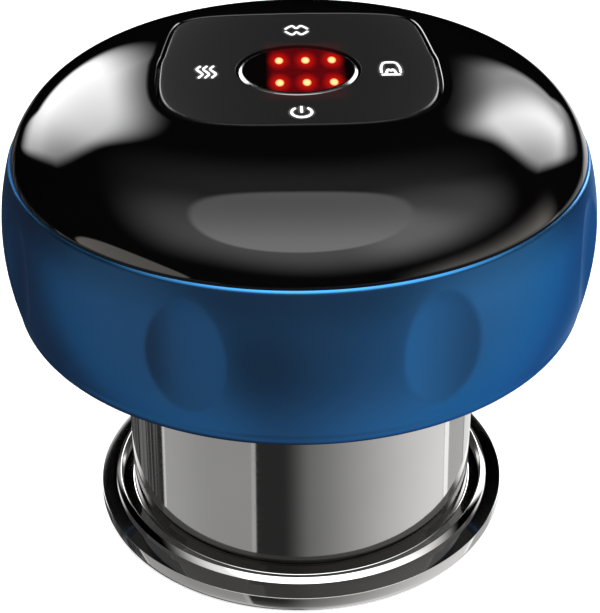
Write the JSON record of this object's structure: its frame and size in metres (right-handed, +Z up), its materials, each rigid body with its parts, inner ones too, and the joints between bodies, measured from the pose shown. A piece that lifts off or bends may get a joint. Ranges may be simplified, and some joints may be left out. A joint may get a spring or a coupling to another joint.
{
  "type": "electric cupping massager",
  "caption": "Hand-held electric cupping massager: a dimpled grip ring and domed control top over a plated suction cup with a flanged rim, pulled off downwards.",
  "frame": {"origin": "on the axis, at the plane that the cup's rim stands on", "axes": "+Z up along the axis; -Y to the front, where the power key is; +X to the right seen from the front"},
  "size_m": [0.096, 0.096, 0.08],
  "materials": {
    "gloss_black": "piano black, mirror gloss",
    "charcoal": "satin charcoal overlay with white icons",
    "smoked_lens": "smoked lens, gloss",
    "pearl_blue": "satin pearl blue lacquer, polished chamfer",
    "black_plastic": "fine spark texture",
    "plated": "dark chrome plating over plastic, mirror",
    "seal_rubber": "moulded",
    "clear_lens": "clear, polished",
    "board_green": "solder mask",
    "heater_film": "amber film",
    "indicator": "light-emitting diode, diffused",
    "white_plastic": "moulded",
    "steel": "bright zinc",
    "frame_grey": "moulded",
    "cell_wrap": "blue shrink wrap over the can",
    "motor_can": "plated can",
    "brass": "turned",
    "silicone": "translucent silicone"
  },
  "bodies": {
    "housing": {"top_cover": "gloss_black", "control_panel": "charcoal", "display_lens": "smoked_lens", "grip_shell": "pearl_blue", "base_cover": "black_plastic", "cup_seal": "seal_rubber", "light_window": "clear_lens", "heater_ring": "heater_film", "light_board": "board_green", "port_nipple": "white_plastic", "suction_filter": "white_plastic", "main_board": "board_green", "led_shroud": "black_plastic", "inner_frame": "frame_grey", "battery_cell": "cell_wrap", "pump_motor": "motor_can", "pump_head": "white_plastic", "pump_diaphragm": "seal_rubber", "tee_fitting": "white_plastic", "tube_port": "silicone", "tube_pump": "silicone", "tube_valve": "silicone", "valve_body": "white_plastic", "charge_board": "board_green", "charge_socket": "steel", "switch_power": "black_plastic", "switch_heat": "black_plastic", "switch_suction": "black_plastic", "switch_scrape": "black_plastic", "led_1": "indicator", "led_2": "indicator", "led_3": "indicator", "led_4": "indicator", "led_5": "indicator", "led_6": "indicator", "red_led_1": "indicator", "board_screw_1": "steel", "base_screw_1": "steel", "red_led_2": "indicator", "board_screw_2": "steel", "base_screw_2": "steel", "red_led_3": "indicator", "board_screw_3": "steel", "base_screw_3": "steel", "red_led_4": "indicator", "board_screw_4": "steel", "base_screw_4": "steel"},
    "cup": {"cup": "plated"},
    "pump_rotor": {"pump_shaft": "steel"},
    "valve_stem": {"valve_plunger": "brass"},
    "key_power": {"key_power": "black_plastic"},
    "key_heat": {"key_heat": "black_plastic"},
    "key_suction": {"key_suction": "black_plastic"},
    "key_scrape": {"key_scrape": "black_plastic"}
  },
  "joints": [
    {"name": "cup_pull", "type": "slide", "parent": "housing", "child": "cup", "axis": [0, 0, -1], "range_m": [0, 0.012]},
    {"name": "pump_spin", "type": "hinge", "parent": "housing", "child": "pump_rotor", "pos_m": [0, 0.0156, 0.0591], "axis": [1, 0, 0], "continuous": true},
    {"name": "valve_slide", "type": "slide", "parent": "housing", "child": "valve_stem", "axis": [-1, 0, 0], "range_m": [0, 0.001], "stiffness_N_per_m": 300, "springref_m": -0.001},
    {"name": "power_press", "type": "slide", "parent": "housing", "child": "key_power", "axis": [0, 0, -1], "range_m": [0, 0.0003], "stiffness_N_per_m": 2000, "springref_m": -0.0001},
    {"name": "heat_press", "type": "slide", "parent": "housing", "child": "key_heat", "axis": [0, 0, -1], "range_m": [0, 0.0003], "stiffness_N_per_m": 2000, "springref_m": -0.0001},
    {"name": "suction_press", "type": "slide", "parent": "housing", "child": "key_suction", "axis": [0, 0, -1], "range_m": [0, 0.0003], "stiffness_N_per_m": 2000, "springref_m": -0.0001},
    {"name": "scrape_press", "type": "slide", "parent": "housing", "child": "key_scrape", "axis": [0, 0, -1], "range_m": [0, 0.0003], "stiffness_N_per_m": 2000, "springref_m": -0.0001}
  ]
}
